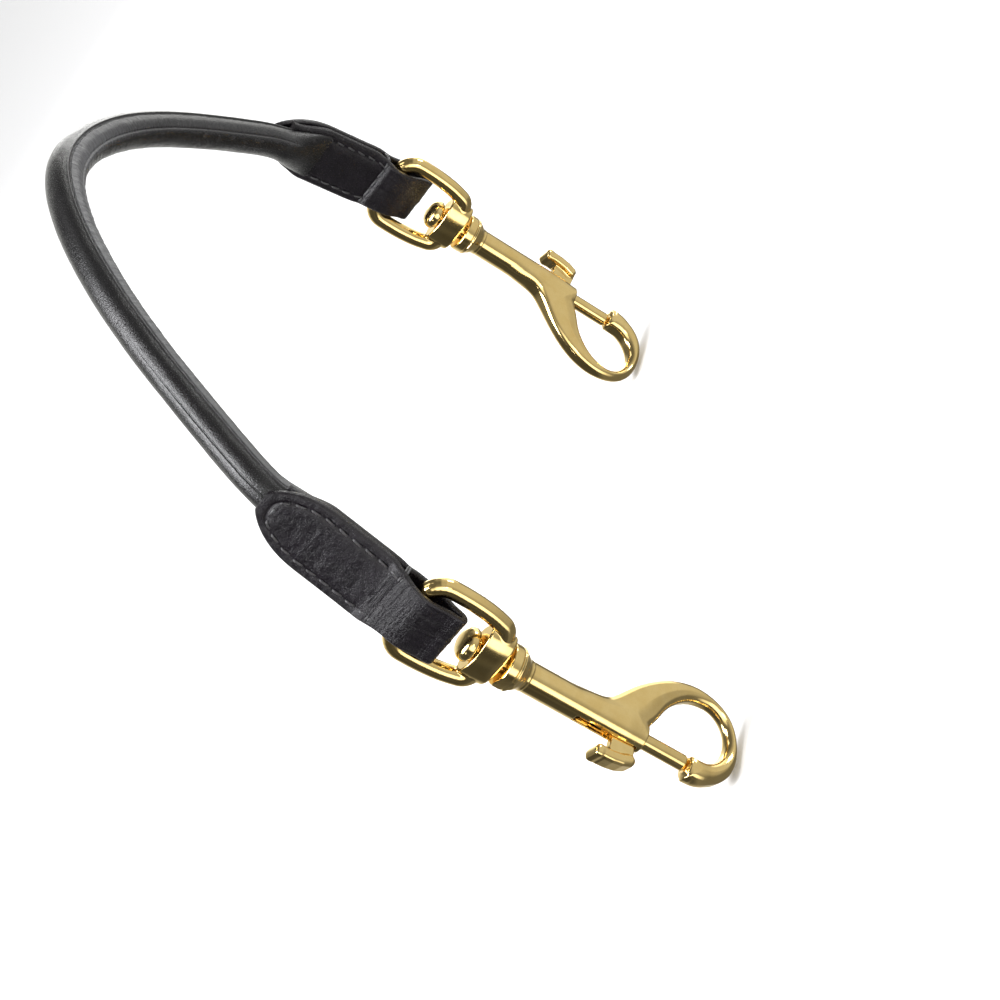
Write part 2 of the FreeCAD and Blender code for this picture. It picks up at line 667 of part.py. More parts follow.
# ---------------------------------------------------------------- assembly
def build_side(side, sign):
    """Builds one snap and one half of the strap, and returns their pieces."""
    at_collar = V(sign * AXIS_X, 0, COLLAR_Z)
    turn = dim["swivel_turn"] - 90.0 + (180.0 if sign > 0 else 0.0)
    snap_place = Placement(at_collar, Rotation(V(0, 0, 1), turn))
    snap = [hooks[side], swivel_stud(f"{side}_swivel_stud"), slide_bolt(f"{side}_bolt"),
            thumb_lug(f"{side}_thumb_lug")]
    for piece in snap:
        piece.Placement = snap_place
    spring = coil_spring(f"{side}_spring")
    spring_z = -dim["spring_top"] - dim["spring_len"] + dim["spring_wire"]
    spring.Placement = snap_place.multiply(shift(0, 0, spring_z))
    eye = swivel_eye(f"{side}_swivel_eye")
    eye.Placement = Placement(at_collar, Rotation())
    curve = roll_curve(sign)
    return snap + [
        spring,
        eye,
        strap_half(f"strap_{side}", sign, curve),
        core_cord(f"core_cord_{side}", sign, curve),
        tab_filler(f"tab_filler_{side}", sign),
        tab_stitching(f"tab_stitching_{side}", sign),
        seam_stitching(f"seam_stitching_{side}", sign, curve),
    ]


pieces = build_side("left", -1) + build_side("right", 1)

doc.recompute()
for feature in doc.Objects:
    if "Invalid" in feature.State or "Error" in feature.State:
        raise SystemExit(f"{feature.Name} is in state {feature.State}")
for piece in pieces:
    if piece.Shape.isNull() or not piece.Shape.isValid():
        raise SystemExit(f"{piece.Label} has no valid shape")
    if not piece.Shape.Solids:
        raise SystemExit(f"{piece.Label} has no solid")

os.makedirs("parts", exist_ok=True)
for piece in pieces:
    piece.Shape.exportStep(os.path.join("parts", piece.Label + ".step"))
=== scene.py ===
"""Rolled leather grab strap with a brass swivel snap hook at each end, on a pale studio floor.

Lengths are in mm and become metres as each mesh is built; the stage, lights and camera are in
metres. X runs along the strap with the left end at -X, Z is up, and the strap's middle plane is
y = 0. Each hook hangs on the upright line x = +-SNAP_X. Its metal parts are drawn in a frame
whose origin lies on that line at z = SNAP_Z.
"""

import math
from functools import reduce

import bmesh
import bpy
import numpy as np
import openvdb as vdb
from mathutils import Matrix, Vector


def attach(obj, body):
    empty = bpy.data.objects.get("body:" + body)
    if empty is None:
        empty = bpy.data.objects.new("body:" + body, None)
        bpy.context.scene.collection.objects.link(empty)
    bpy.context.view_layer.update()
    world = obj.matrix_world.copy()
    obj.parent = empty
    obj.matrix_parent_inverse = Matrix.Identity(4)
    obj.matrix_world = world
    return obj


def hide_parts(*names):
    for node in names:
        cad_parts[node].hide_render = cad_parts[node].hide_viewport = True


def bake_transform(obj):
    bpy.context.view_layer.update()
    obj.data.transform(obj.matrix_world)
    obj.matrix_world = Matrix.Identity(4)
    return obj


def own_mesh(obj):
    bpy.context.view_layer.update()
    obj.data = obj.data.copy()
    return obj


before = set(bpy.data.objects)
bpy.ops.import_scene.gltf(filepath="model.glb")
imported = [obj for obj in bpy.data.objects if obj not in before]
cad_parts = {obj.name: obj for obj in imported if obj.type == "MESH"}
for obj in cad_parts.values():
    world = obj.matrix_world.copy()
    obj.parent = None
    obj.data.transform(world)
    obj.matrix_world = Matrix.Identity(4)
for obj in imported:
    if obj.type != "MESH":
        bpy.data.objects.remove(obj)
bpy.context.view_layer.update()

MM = 0.001
SIDES = (("left", -1), ("right", 1))
SNAP_X = 107.9
SNAP_Z = 67.069
SNAP_TURN = math.radians(-26.0)  # of the left hook about its upright line
BAR_HEIGHT = 28.6  # bar of the swivel eye, above SNAP_Z
TAB_LEAN = math.radians(17.5)  # from upright, towards the middle of the strap
PLY = 1.9
TAB_HALF = 9.3  # half widths
LOOP_HALF = 7.4
TONGUE = 43.0  # from the bar to the tongue's tip
rng = np.random.default_rng(7)


# ------------------------------------------------------------------ curves and meshes
def smooth(t):
    t = np.clip(t, 0.0, 1.0)
    return t * t * (3 - 2 * t)


def mix(a, b, t):
    return a * (1 - t) + b * t


def bell(offset, width):
    return np.exp(-((offset / width) ** 2))


def build(name, verts, faces, material, uv=None, attributes=None, recalc=False):
    """Make an object from points in mm; recalc turns the face normals outwards."""
    mesh = bpy.data.meshes.new(name)
    mesh.from_pydata((np.asarray(verts) * MM).tolist(), [], faces)
    mesh.update()
    mesh.polygons.foreach_set("use_smooth", np.ones(len(mesh.polygons), bool))
    if uv is not None:
        layer = mesh.uv_layers.new(name="UVMap")
        layer.data.foreach_set("uv", np.asarray(uv, np.float32).ravel())
    for key, values in (attributes or {}).items():
        attribute = mesh.attributes.new(key, "FLOAT", "POINT")
        attribute.data.foreach_set("value", np.asarray(values, np.float32).ravel())
    mesh.materials.append(material)
    mesh.update()
    obj = bpy.data.objects.new(name, mesh)
    bpy.context.scene.collection.objects.link(obj)
    if recalc:
        work = bmesh.new()
        work.from_mesh(mesh)
        bmesh.ops.recalc_face_normals(work, faces=work.faces)
        work.to_mesh(mesh)
        work.free()
        mesh.update()
    return obj


def skin(rings, along, around, flip=False):
    """Points, faces and corner UVs of closed rings[i, j], capped at both ends.

    along has one value a ring, around has one a point and one more to close the ring.
    """
    count, size = rings.shape[:2]
    index = np.arange(count * size).reshape(count, size)
    after = np.roll(index, -1, axis=1)
    quads = np.stack([index[:-1], after[:-1], after[1:], index[1:]], -1).reshape(-1, 4)
    corner = np.stack(np.broadcast_arrays(along[:, None], around[None, :]), -1)
    uv = np.stack([corner[:-1, :-1], corner[:-1, 1:], corner[1:, 1:], corner[1:, :-1]], 2)
    uv = uv.reshape(-1, 4, 2)
    if flip:
        quads = quads[:, ::-1]
        uv = uv[:, ::-1]
    faces = quads.tolist()
    uv = uv.reshape(-1, 2).tolist()
    hub = count * size
    verts = np.vstack([rings.reshape(-1, 3), rings[0].mean(0), rings[-1].mean(0)])
    step = -1 if flip else 1
    for j in range(size):
        k = (j + 1) % size
        faces.append((int(index[0, k]), int(index[0, j]), hub)[::step])
        faces.append((int(index[-1, j]), int(index[-1, k]), hub + 1)[::step])
        uv += [(along[0], around[j])] * 3 + [(along[-1], around[j])] * 3
    return verts, faces, uv


def bare_skin(rings):
    """Points and faces only, for pieces without a UV map."""
    count, size = rings.shape[:2]
    return skin(rings, np.zeros(count), np.zeros(size + 1))[:2]


def natural_spline(points):
    """Natural cubic spline by chord length: a function of distance, and the total length."""
    p = np.asarray(points, float)
    knots = np.concatenate([[0], np.cumsum(np.linalg.norm(np.diff(p, axis=0), axis=1))])
    n = len(p)
    h = np.diff(knots)
    system = np.zeros((n, n))
    rhs = np.zeros((n, p.shape[1]))
    system[0, 0] = system[-1, -1] = 1
    for i in range(1, n - 1):
        system[i, i - 1 : i + 2] = h[i - 1], 2 * (h[i - 1] + h[i]), h[i]
        rhs[i] = 6 * ((p[i + 1] - p[i]) / h[i] - (p[i] - p[i - 1]) / h[i - 1])
    second = np.linalg.solve(system, rhs)

    def at(distance):
        q = np.atleast_1d(distance)
        k = np.clip(np.searchsorted(knots, q) - 1, 0, n - 2)
        a, b = (knots[k + 1] - q)[:, None], (q - knots[k])[:, None]
        span = h[k][:, None]
        cubic = (second[k] * a**3 + second[k + 1] * b**3) / (6 * span)
        start = (p[k] / span - second[k] * span / 6) * a
        return cubic + start + (p[k + 1] / span - second[k + 1] * span / 6) * b

    return at, knots[-1]


def tangents(curve, length, distance, step):
    t = curve(np.minimum(distance + step, length)) - curve(np.maximum(distance - step, 0))
    return t / np.linalg.norm(t, axis=1)[:, None]


def value_noise(x, y, seed=0):
    """Smooth noise from -1 to 1 over arrays x, y."""
    xi, yi = np.floor(x).astype(int), np.floor(y).astype(int)
    fx, fy = smooth(x - xi), smooth(y - yi)

    def lattice(a, b):
        k = (a * 374761393 + b * 668265263 + seed * 2147483647) & 0xFFFFFFFF
        k = ((k ^ (k >> 13)) * 1274126177) & 0xFFFFFFFF
        return ((k ^ (k >> 16)) & 0xFFFF) / 32767.5 - 1

    low = mix(lattice(xi, yi), lattice(xi + 1, yi), fx)
    high = mix(lattice(xi, yi + 1), lattice(xi + 1, yi + 1), fx)
    return mix(low, high, fy)


# ------------------------------------------------------------------ materials
class Graph:
    """Adds nodes to a tree. A value that is a socket is linked, any other is set."""

    def __init__(self, tree):
        self.tree = tree

    def feed(self, socket, value):
        if isinstance(value, bpy.types.NodeSocket):
            self.tree.links.new(value, socket)
        else:
            socket.default_value = value

    def put(self, target, **values):
        """Fill inputs (spaces written as underscores) or, failing those, properties."""
        for name, value in values.items():
            key = name.replace("_", " ")
            if key in target.inputs.keys():
                self.feed(target.inputs[key], value)
            else:
                setattr(target, name, value)

    def surface(self, **values):
        self.put(self.tree.nodes["Principled BSDF"], **values)

    def node(self, kind, **values):
        new = self.tree.nodes.new(kind)
        self.put(new, **values)
        return new

    def noise(self, **values):
        return self.node("ShaderNodeTexNoise", **values).outputs[0]

    def attribute(self, name):
        return self.node("ShaderNodeAttribute", attribute_name=name).outputs["Fac"]

    def object_coords(self):
        return self.node("ShaderNodeTexCoord").outputs["Object"]

    def ramp(self, source, stops):
        """Colour ramp of (position, colour or grey level)."""
        new = self.node("ShaderNodeValToRGB", Fac=source)
        elements = new.color_ramp.elements
        while len(elements) < len(stops):
            elements.new(0.5)
        for element, (position, colour) in zip(elements, stops):
            element.position = position
            element.color = (*(colour if isinstance(colour, tuple) else (colour,) * 3), 1)
        return new.outputs[0]

    def math(self, operation, *values):
        new = self.node("ShaderNodeMath", operation=operation)
        for socket, value in zip(new.inputs, values):
            self.feed(socket, value)
        return new.outputs[0]

    def add(self, a, b):
        return self.math("ADD", a, b)

    def times(self, a, b):
        return self.math("MULTIPLY", a, b)

    def affine(self, source, gain, offset):
        return self.add(self.times(source, gain), offset)

    def weighted_sum(self, *layers):
        return reduce(self.add, [self.times(layer, weight) for layer, weight in layers])

    def blend(self, factor, a, b, mode="MIX"):
        new = self.node("ShaderNodeMix", data_type="RGBA", blend_type=mode, Factor=factor, A=a, B=b)
        return new.outputs["Result"]


def new_material(name):
    material = bpy.data.materials.new(name)
    material.use_nodes = True
    return material, Graph(material.node_tree)


def leather_material(name, dark, light, rough, grain, specular):
    """Pebbled leather; the crease attribute adds wrinkles, the band attribute adds a paler, duller
    band, which on the roll also carries painted light: brighter at the bend, painted shade on the
    far leg.
    """
    material, g = new_material(name)
    uv = g.node("ShaderNodeUVMap", uv_map="UVMap").outputs[0]
    band_tone_and_light = g.attribute("band_tone_and_light")
    crease = g.attribute("crease")
    cells = g.node("ShaderNodeTexVoronoi", feature="DISTANCE_TO_EDGE", Vector=uv,
                   Scale=17.0, Randomness=1.0)
    medium = g.noise(Vector=uv, Scale=30.0, Detail=6.0, Roughness=0.6)
    fine = g.noise(Vector=uv, Scale=90.0, Detail=5.0, Roughness=0.65)
    wide = g.noise(Vector=uv, Scale=1.7, Detail=5.0, Roughness=0.6)
    stretched = g.node("ShaderNodeMapping", Vector=uv, Scale=(14.0, 1.6, 1.0)).outputs[0]
    wrinkle = g.noise(Vector=stretched, Scale=1.0, Detail=4.0, Roughness=0.62, Distortion=0.5)
    cell_height = g.ramp(cells.outputs["Distance"], [(0.0, 0), (0.22, 0.8), (0.6, 1)])
    pebble = g.noise(Vector=uv, Scale=24.0, Detail=2.5, Roughness=0.5)
    height = g.weighted_sum(
        (cell_height, 0.22), (pebble, 1.1), (medium, 0.55), (fine, 0.35),
        (wrinkle, g.affine(crease, gain=4.2, offset=0.25)))
    bump = g.node("ShaderNodeBump", Strength=0.55 * grain, Distance=0.00022, Height=height)

    base = g.ramp(wide, [(0.3, dark), (0.72, light)])
    pointiness = g.node("ShaderNodeNewGeometry").outputs["Pointiness"]
    edge_wear = g.times(g.ramp(pointiness, [(0.5, 0), (0.56, 1)]), 0.35)
    worn = g.blend(edge_wear, base, (0.045, 0.041, 0.041, 1))
    # paler band; its strength per point is partly the band's own colour, partly painted light and
    # painted shade
    banded = g.blend(g.times(band_tone_and_light, 0.9), worn, (0.075, 0.075, 0.079, 1))
    roughness = g.affine(medium, gain=0.22, offset=rough - 0.11)
    roughness = g.add(roughness, g.times(band_tone_and_light, 0.16))
    g.surface(Base_Color=banded, Roughness=roughness, Normal=bump.outputs[0],
              Specular_IOR_Level=specular, Coat_Weight=0.04, Coat_Roughness=0.2)
    return material


def brass_material(name, rough):
    """Polished brass, darker and duller in the hollows, with fine upright scratches."""
    material, g = new_material(name)
    coords = g.object_coords()
    wide = g.noise(Vector=coords, Scale=220.0, Detail=5.0, Roughness=0.6)
    fine = g.noise(Vector=coords, Scale=2600.0, Detail=3.0, Roughness=0.6)
    drawn = g.node("ShaderNodeMapping", Vector=coords, Scale=(5200.0, 5200.0, 260.0)).outputs[0]
    scratch = g.noise(Vector=drawn, Scale=1.0, Detail=2.0)
    base = g.ramp(wide, [(0.3, (0.79, 0.57, 0.22)), (0.7, (0.86, 0.65, 0.285))])
    pointiness = g.node("ShaderNodeNewGeometry").outputs["Pointiness"]
    hollow = g.ramp(pointiness, [(0.42, 1), (0.485, 0)])
    colour = g.blend(g.times(hollow, 0.6), base, (0.30, 0.17, 0.045, 1))
    roughness = g.affine(wide, gain=0.08, offset=rough - 0.02)
    roughness = g.add(roughness, g.times(hollow, 0.2))
    scratches = g.node("ShaderNodeBump", Strength=0.12, Distance=0.00006,
                       Height=g.weighted_sum((fine, 0.6), (scratch, 0.5)))
    waves = g.node("ShaderNodeBump", Strength=0.05, Distance=0.0006, Height=wide,
                   Normal=scratches.outputs[0])
    g.surface(Base_Color=colour, Metallic=1.0, Roughness=roughness, Normal=waves.outputs[0])
    return material


def thread_material(name, colour):
    material, g = new_material(name)
    fibres = g.noise(Vector=g.object_coords(), Scale=3000.0, Detail=4.0)
    dark, light = (tuple(gain * c for c in colour) for gain in (0.5, 1.8))
    bump = g.node("ShaderNodeBump", Strength=0.5, Distance=0.0001, Height=fibres)
    g.surface(Base_Color=g.ramp(fibres, [(0.3, dark), (0.7, light)]), Roughness=0.32,
              Specular_IOR_Level=0.75, Normal=bump.outputs[0])
    return material


def steel_material(name):
    material, g = new_material(name)
    mottle = g.noise(Vector=g.object_coords(), Scale=900.0, Detail=4.0)
    colour = g.ramp(mottle, [(0.3, (0.42, 0.42, 0.44)), (0.7, (0.62, 0.62, 0.64))])
    g.surface(Base_Color=colour, Metallic=1.0, Roughness=0.3)
    return material


LEATHER = leather_material(
    "leather_roll", dark=(0.0016, 0.0015, 0.0017), light=(0.0040, 0.0036, 0.0041),
    rough=0.25, grain=0.82, specular=0.60)
LEATHER_TAB = leather_material(
    "leather_tab", dark=(0.0028, 0.0020, 0.0031), light=(0.0060, 0.0043, 0.0068),
    rough=0.25, grain=1.25, specular=0.35)
BRASS = brass_material("brass_polished", rough=0.11)
BRASS_BOLT = brass_material("brass_bolt", rough=0.14)
THREAD = thread_material("thread_black", colour=(0.026, 0.025, 0.026))
STEEL = steel_material("steel_spring")


# ------------------------------------------------------------------ the roll
def tab(sign, u, v, y):
    """Points from tab coordinates: u up the tab from the bar, v outwards through it, y across."""
    u, v, y = np.broadcast_arrays(np.asarray(u, float), np.asarray(v, float), np.asarray(y, float))
    return np.stack([
        sign * (SNAP_X - u * math.sin(TAB_LEAN) + v * math.cos(TAB_LEAN)), y,
        SNAP_Z + BAR_HEIGHT + u * math.cos(TAB_LEAN) + v * math.sin(TAB_LEAN)], -1)


# Middle line of the roll from above a tab to the strap's middle: (x, height above SNAP_Z).
ARCH = [(83.2, 78.0), (71.6, 90.4), (59.6, 102.2), (46.8, 112.6), (32.2, 121.6), (16.4, 128.0),
        (0.0, 130.6)]
ROLL_V = -4.1  # the roll's end runs this far inside the tab's middle
ROLL_END_DEPTHS = (2.0, 9.0, 16.0)  # below the tongue's tip
LAP_ANGLE = math.radians(69.0)  # overlapping edge, round the roll from outwards towards -Y
CREASE_ANGLE = math.radians(133.0)
END_MARGIN = 17.0  # no seam stitches this close to the roll's ends


def arch_line():
    """The roll's middle line (x, z) from the left end to the right."""
    right_half = [(x, z + SNAP_Z) for x, z in ARCH[::-1]]
    for depth in ROLL_END_DEPTHS:
        x, _, z = tab(1, TONGUE - depth, ROLL_V, 0.0)
        right_half.append((float(x), float(z)))
    return natural_spline([(-x, z) for x, z in right_half[:0:-1]] + right_half)


arch_at, arch_length = arch_line()


def roll_section(distance):
    """Radial half depth, half width, outward shift and seam strength along the roll."""
    from_end = np.minimum(distance, arch_length - distance)
    swell = smooth(from_end / 15.0)
    depth = mix(0.9, 5.15, np.sqrt(np.clip(swell, 0, 1)))
    width = mix(7.6, 4.75, smooth(from_end / 17.0))
    shift = mix(2.1, 0.0, smooth(from_end / 15.0))
    return depth, width, shift, smooth((from_end - 7.0) / 8.0)


def roll_frame(distance):
    """Middle points and outward directions, both (x, z)."""
    t = tangents(arch_at, arch_length, distance, 0.2)
    return arch_at(distance), np.stack([-t[:, 1], t[:, 0]], 1)


def roll_points(centre, outward, shift, theta, radius):
    across = centre + outward * (shift + np.cos(theta) * radius)[..., None]
    return np.stack([across[..., 0], -np.sin(theta) * radius, across[..., 1]], -1)


def roll_radius(theta, depth, width, seam):
    """Ellipse radius with the overlapping edge and the second crease on the -Y side."""
    radius = 1.0 / np.sqrt((np.cos(theta) / depth) ** 2 + (np.sin(theta) / width) ** 2)
    lap = theta - LAP_ANGLE
    step = smooth((lap + 0.02) / 0.055) * (1 - smooth((theta - CREASE_ANGLE + 0.15) / 0.35))
    lip = bell(lap + 0.055, 0.06)
    groove = bell(lap - 0.075, 0.05)
    crease = bell(theta - CREASE_ANGLE, 0.055)
    middle = bell(theta - 0.5 * (LAP_ANGLE + CREASE_ANGLE), 0.30)
    relief = -0.26 * step + 0.12 * lip - 0.34 * groove - 0.42 * crease + 0.14 * middle
    return radius + seam * relief


def tuck_under_tongue(points):
    """Keep the roll below the plane of each tongue's underside, v = clearance."""
    clearance = 0.9
    for sign in (-1, 1):
        rel_x = sign * points[..., 0] - SNAP_X
        rel_z = points[..., 2] - SNAP_Z - BAR_HEIGHT
        v = rel_x * math.cos(TAB_LEAN) + rel_z * math.sin(TAB_LEAN)
        u = -rel_x * math.sin(TAB_LEAN) + rel_z * math.cos(TAB_LEAN)
        over = (v > clearance) & (u < TONGUE - 0.4) & (sign * points[..., 0] > 60)
        push = np.where(over, clearance - v, 0.0)
        points[..., 0] += sign * push * math.cos(TAB_LEAN)
        points[..., 2] += push * math.sin(TAB_LEAN)


def make_roll():
    distance = np.linspace(0.0, arch_length, 800)
    angles = np.linspace(-math.pi, math.pi, 176, endpoint=False)
    centre, outward = roll_frame(distance)
    depth, width, shift, seam = (value[:, None] for value in roll_section(distance))
    s, theta = np.meshgrid(distance, angles, indexing="ij")
    radius = roll_radius(theta, depth, width, seam)
    # a wavering line along the outside, near the ends only
    near_end = 1 - smooth((np.minimum(s, arch_length - s) - 35.0) / 45.0)
    radius = radius - 0.30 * bell(theta - 0.09 - 0.02 * np.sin(s / 9.0), 0.036) * seam * near_end
    # wrinkles, deepest at mid-length between lap and crease and on the inside of the bend
    bend = bell(s - arch_length / 2, 75.0)
    inner = smooth((np.abs(theta) - 1.6) / 1.2)
    band = smooth((theta - LAP_ANGLE) / 0.05)
    band = band * (1 - smooth((theta - CREASE_ANGLE - 0.02) / 0.40))
    waver = 0.25 * value_noise(s / 5, theta * 2, 3)
    wrinkle = value_noise(s / 1.15 + waver, theta * 1.5, 1) * 0.6
    wrinkle = wrinkle + value_noise(s / 0.6, theta * 2.6, 2) * 0.4
    radius = radius + wrinkle * (0.014 + 0.19 * bend * np.maximum(band, 0.6 * inner)) * seam
    # broad and small unevenness
    radius = radius + 0.10 * value_noise(s / 17.0, theta * 1.2, 5) * seam
    radius = radius + 0.035 * value_noise(s / 5.0, theta * 3, 6)
    points = roll_points(centre[:, None, :], outward[:, None, :], shift, theta, radius)
    tuck_under_tongue(points)

    around = np.concatenate([angles, [math.pi]]) * 0.49
    verts, faces, uv = skin(points, distance / 10.0, around)
    # paler seam band, painted brighter at the bend as a painted highlight and darker on the far leg
    # as painted shade
    far_leg_painted_shade = 1.0 - 0.72 * smooth((s / arch_length - 0.52) / 0.20)
    band_tone_and_light = band * seam * (0.75 + 0.35 * bend) * far_leg_painted_shade
    crease = seam * np.clip(bend * (0.95 * band + 0.95 * inner) + 0.12, 0, 1)
    cap_hubs = [0, 0]
    attributes = {"band_tone_and_light": np.append(band_tone_and_light, cap_hubs), "crease": np.append(crease, cap_hubs)}
    return build("strap_roll_cover", verts, faces, LEATHER, uv, attributes)


# ------------------------------------------------------------------ tabs: tongue, loop, inner ply
PLY_V = 1.45  # middle of either ply, from the tab's middle
BAR_V = 3.75  # the same where the loop passes the bar
FOLD_R = 1.35  # fold below the bar
FOLD_U = -9.5
TIP_LENGTH = 16.0
# Middle of the outer and inner plies as the stitches meet them: (u, distance from the middle).
OUTER_PLY = [(5.5, 2.6), (6.8, 2.3), (9.5, 1.83), (14, 1.51), (22, 1.45), (31, 1.45),
             (38, 1.65), (43.0, 1.8)]
INNER_PLY = [(5.5, 2.15), (6.8, 1.8), (9.5, 1.48), (14, 1.45)]


def widen(u, full):
    """Half width growing from the loop's to full."""
    return LOOP_HALF + (full - LOOP_HALF) * smooth((u - 1.0) / 11.0)


def tongue_half(u):
    u = np.asarray(u, float)
    k = np.clip((TONGUE - u) / TIP_LENGTH, 0, 1)
    tip = 2.5 + (TAB_HALF - 2.5) * (1 - (1 - k) ** 2.2) ** 0.8
    return np.where(TONGUE - u < TIP_LENGTH, tip, widen(u, TAB_HALF))


def soft_min(a, b, k):
    t = np.clip(0.5 + 0.5 * (b - a) / k, 0, 1)
    return b * (1 - t) + a * t - k * t * (1 - t)


def soft_max(a, b, k):
    return -soft_min(-a, -b, k)


def band_path():
    """Middle of the leather (u, v) down the tongue, round the loop and up the inner ply."""
    tongue = [
        (TONGUE, PLY_V + 0.35), (38.0, PLY_V + 0.2), (31.0, PLY_V), (22.0, PLY_V),
        (14.0, PLY_V + 0.06), (9.5, PLY_V + 0.38), (6.8, PLY_V + 0.85), (3.9, BAR_V - 0.78),
        (0.8, BAR_V - 0.08), (-2.6, BAR_V - 0.15), (-5.6, FOLD_R + 1.15), (-8.0, FOLD_R + 0.3)]
    fold = [(FOLD_U - FOLD_R * math.sin(a), FOLD_R * math.cos(a))
            for a in np.radians([15, 40, 65, 90, 115, 140, 165])]
    inner = [
        (-8.0, -FOLD_R - 0.3), (-5.6, -FOLD_R - 1.15), (-2.6, -BAR_V + 0.15), (0.8, -BAR_V),
        (3.9, -BAR_V + 0.5), (6.8, -PLY_V - 0.35), (9.5, -PLY_V - 0.03), (14.0, -PLY_V),
        (22.0, -PLY_V), (32.0, -PLY_V), (40.0, -PLY_V)]
    return tongue + fold + inner


def make_band(side, sign):
    curve, length = natural_spline(band_path())
    distance = np.linspace(0, length, 620)
    centre = curve(distance)
    t = tangents(curve, length, distance, 0.1)
    normal = np.stack([t[:, 1], -t[:, 0]], 1)  # towards the outside of the loop
    u = centre[:, :1]
    s = distance[:, None]
    on_tongue = s < length * 0.5
    half = np.where(on_tongue, tongue_half(u), widen(u, TAB_HALF - 0.25))
    half = np.where(~on_tongue & (u > 28), mix(half, 6.4, smooth((u - 28) / 12)), half)

    # section: outer face, edge, inner face, edge, as y across and rise along the normal
    face_count, edge_count, edge_r = 84, 9, 0.62
    across = np.linspace(-1, 1, face_count)
    angle = np.linspace(math.pi / 2, -math.pi / 2, edge_count + 2)[1:-1]
    sine, cosine = np.sin(angle), np.cos(angle)
    edge_rise = np.sign(sine) * (PLY / 2 - edge_r) * (np.abs(sine) > 1e-6) + edge_r * sine
    face_rise = np.full(face_count, PLY / 2)
    flat, ends = np.zeros(face_count), np.ones(edge_count)
    reach = np.concatenate([across, ends, across[::-1], -ends])
    bulge = np.concatenate([flat, edge_r * cosine, flat, -edge_r * cosine[::-1]])
    section = np.concatenate([face_rise, edge_rise, -face_rise, edge_rise[::-1]])
    y = reach * (half - edge_r) + bulge
    outer = (np.arange(len(section)) < face_count)[None, :].astype(float)

    flat_zone = smooth((u - 8.0) / 3.0)
    fold = 1 - flat_zone
    rel = np.clip(np.abs(y) / half, 0, 1)
    # the stitched border is pressed down and the middle stands proud
    border = soft_min(half - np.abs(y), np.where(on_tongue, TONGUE - u, 99.0), 2.6)
    puff = smooth((border - 2.2) / 2.6)
    line = bell(border - 2.55, 0.42)
    rim = bell(border - 0.9, 0.7)
    rise = section + outer * flat_zone * (0.22 * puff - 0.26 * line + 0.05 * rim)
    # plies come together along the edges
    rise = rise - 0.52 * rel**3 * flat_zone
    grain = 0.06 * value_noise(s / 1.7, y / 2.6, 11) + 0.035 * value_noise(s / 0.8, y / 1.1, 12)
    rise = rise + outer * grain
    # small lengthwise folds in the loop
    creases = 0.07 * value_noise(s / 9.0, y / 0.9, 13) + 0.03 * value_noise(s / 5.0, y / 0.45, 14)
    rise = rise + outer * fold * creases
    # the cross seam presses a groove across both faces where the loop begins
    groove = np.where(on_tongue, 0.12, 0.5) * bell(u - 6.6, 0.6) * (rel < 0.97)
    rise = rise - outer * groove
    rise = rise + outer * np.where(on_tongue, 0.0, 0.35) * bell(u - 5.0, 0.8)
    points = tab(sign, u + normal[:, :1] * rise, centre[:, 1:] + normal[:, 1:] * rise, y)

    steps = np.linalg.norm(np.diff(np.stack([y[300], section], 1), axis=0), axis=1)
    around = np.cumsum(np.r_[0, steps, 0.5])
    along = distance / 10.0 + 7.3 * (sign + 1)
    verts, faces, uv = skin(points, along, around / 10.0, flip=(sign > 0))
    crease = np.append(np.broadcast_to(fold * 0.35 + 0.06, y.shape), [0, 0])
    attributes = {"band_tone_and_light": np.zeros(len(crease)), "crease": crease}
    return build(f"strap_band_{side}", verts, faces, LEATHER_TAB, uv, attributes, recalc=True)


# ------------------------------------------------------------------ stitches
def thread_tube(path, radius, turns=1.6, sides=10):
    """Rings of a two-ply twisted thread along a list of points."""
    p = np.asarray(path, float)
    t = np.gradient(p, axis=0)
    t /= np.linalg.norm(t, axis=1)[:, None]
    a = np.cross(t, np.array([0.31, 0.52, 0.79]))
    a /= np.linalg.norm(a, axis=1)[:, None]
    b = np.cross(t, a)
    phase = np.linspace(0, 2 * math.pi, sides, endpoint=False)
    k = np.linspace(0, 1, len(p))[:, None]
    r = radius * (1 + 0.16 * np.cos(2 * (phase[None, :] + turns * 2 * math.pi * k)))
    r = (r * np.clip(np.minimum(k, 1 - k) * 9, 0.55, 1))[..., None]
    cosine, sine = np.cos(phase)[None, :, None], np.sin(phase)[None, :, None]
    return p[:, None, :] + r * (cosine * a[:, None, :] + sine * b[:, None, :])


def join_tubes(name, tubes):
    verts, faces, base = [], [], 0
    for rings in tubes:
        tube_verts, tube_faces = bare_skin(rings)
        verts.append(tube_verts)
        faces += [tuple(i + base for i in face) for face in tube_faces]
        base += len(tube_verts)
    return build(name, np.vstack(verts), faces, THREAD, recalc=True)


def table_at(q, table):
    return np.interp(q, *zip(*table))


def stitch_line(inset):
    """Line (u, y) up one edge of the tongue, round its tip and down the other."""
    u = np.linspace(7.4, TONGUE - inset, 500)
    eps = 0.4
    slope = (tongue_half(u + eps) - tongue_half(u - eps)) / (2 * eps)
    lean = 1 / np.sqrt(1 + slope**2)
    line_u, line_y = u - inset * np.abs(slope) * lean, tongue_half(u) - inset * lean
    keep = (line_u < TONGUE - inset) & (line_y > 0.4)
    line_u, line_y = line_u[keep], line_y[keep]
    last = line_y[-1]
    tip_y = np.linspace(last, -last, 40)[1:-1]
    tip_u = line_u[-1] + 0.55 * (1 - (tip_y / last) ** 2)
    return np.vstack([
        np.stack([line_u, line_y], 1), np.stack([tip_u, tip_y], 1),
        np.stack([line_u[::-1], -line_y[::-1]], 1)])


